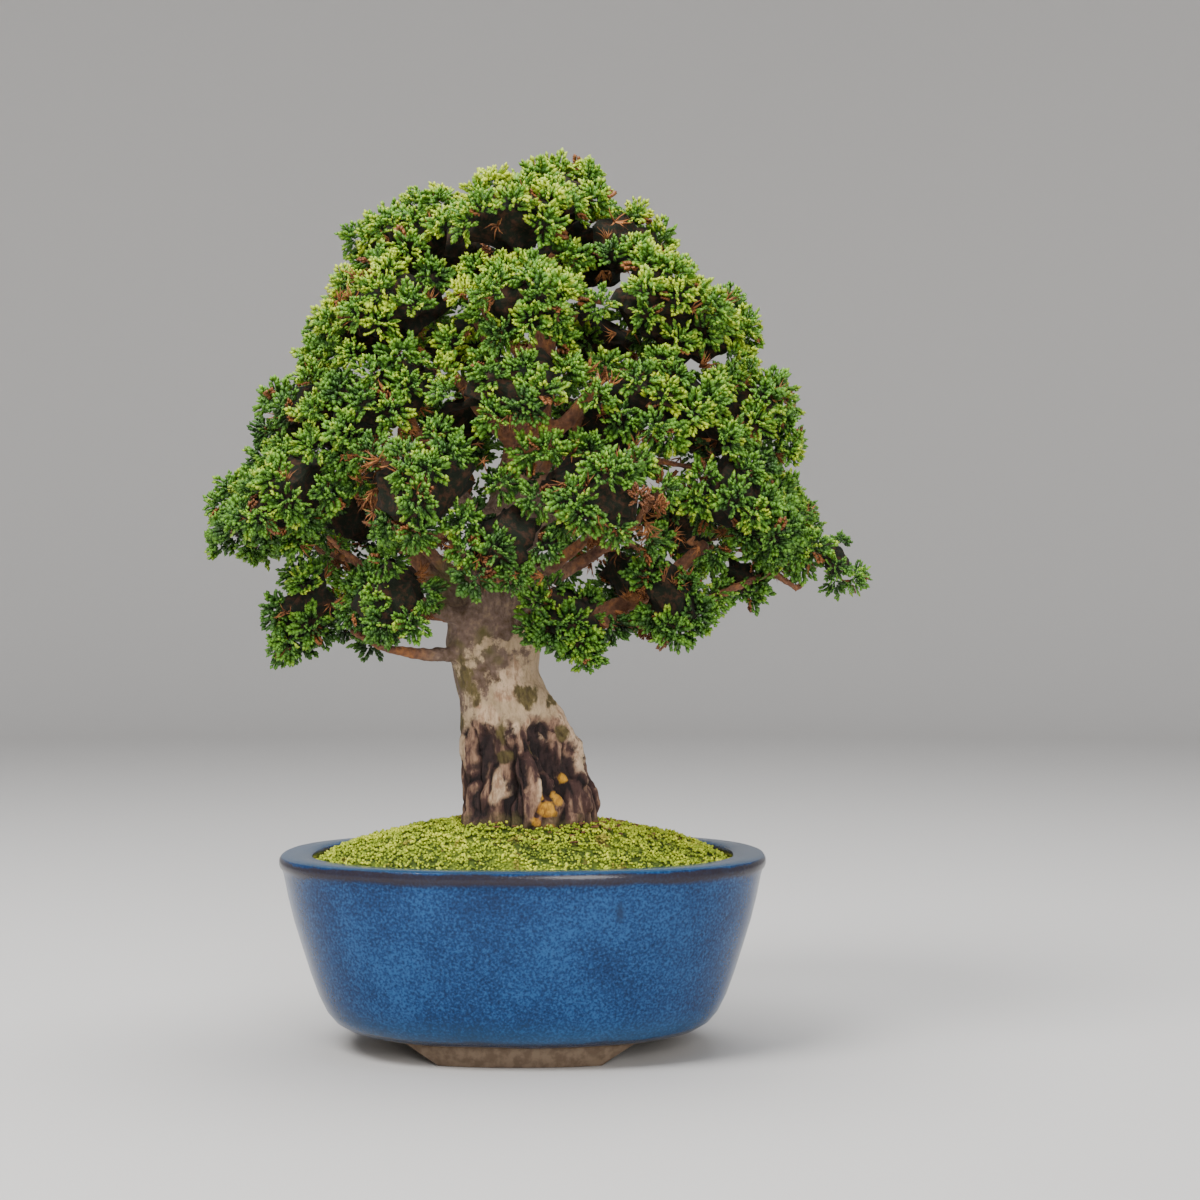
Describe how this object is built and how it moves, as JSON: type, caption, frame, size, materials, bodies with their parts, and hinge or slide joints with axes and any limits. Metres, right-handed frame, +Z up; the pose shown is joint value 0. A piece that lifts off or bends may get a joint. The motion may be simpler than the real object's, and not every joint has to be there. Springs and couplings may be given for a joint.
{
  "type": "hinoki cypress bonsai",
  "caption": "Small dwarf hinoki cypress bonsai with a broad domed crown of fan-shaped sprays on a stout fluted trunk, in moss in an oval blue-glazed pot on cut feet.",
  "frame": {"origin": "on the surface the pot stands on, under the middle of the whole tree's box", "axes": "+Z up, -Y towards the viewer of the tree's front, +X to that viewer's right"},
  "size_m": [0.1778, 0.1448, 0.239],
  "materials": {
    "glazed_ceramic": "glossy blue glaze, dark brown where it breaks at the rim, bare buff clay feet",
    "net": "matt moulded net",
    "soil": "dark granular soil",
    "moss": "soft bright green carpet",
    "bark": "rough grey-brown bark with beige and lichened patches",
    "foliage": "matt deep green scale leaves with yellow-green tips"
  },
  "bodies": {
    "root": {"pot": "glazed_ceramic", "drain_screen": "net", "soil": "soil", "moss": "moss", "trunk_and_branches": "bark", "foliage_01": "foliage", "foliage_02": "foliage", "foliage_03": "foliage", "foliage_04": "foliage", "foliage_05": "foliage", "foliage_06": "foliage", "foliage_07": "foliage", "foliage_08": "foliage", "foliage_09": "foliage", "foliage_10": "foliage", "foliage_11": "foliage", "foliage_12": "foliage", "foliage_13": "foliage", "foliage_14": "foliage", "foliage_15": "foliage", "foliage_16": "foliage", "foliage_17": "foliage", "foliage_18": "foliage", "foliage_19": "foliage", "foliage_20": "foliage", "foliage_21": "foliage", "foliage_22": "foliage", "foliage_23": "foliage", "foliage_24": "foliage", "foliage_25": "foliage", "foliage_26": "foliage", "foliage_27": "foliage", "foliage_28": "foliage", "foliage_29": "foliage", "foliage_30": "foliage", "foliage_31": "foliage", "foliage_32": "foliage", "foliage_33": "foliage", "foliage_34": "foliage", "foliage_35": "foliage", "foliage_36": "foliage", "foliage_37": "foliage", "foliage_38": "foliage", "foliage_39": "foliage", "foliage_40": "foliage", "foliage_41": "foliage"}
  },
  "joints": []
}
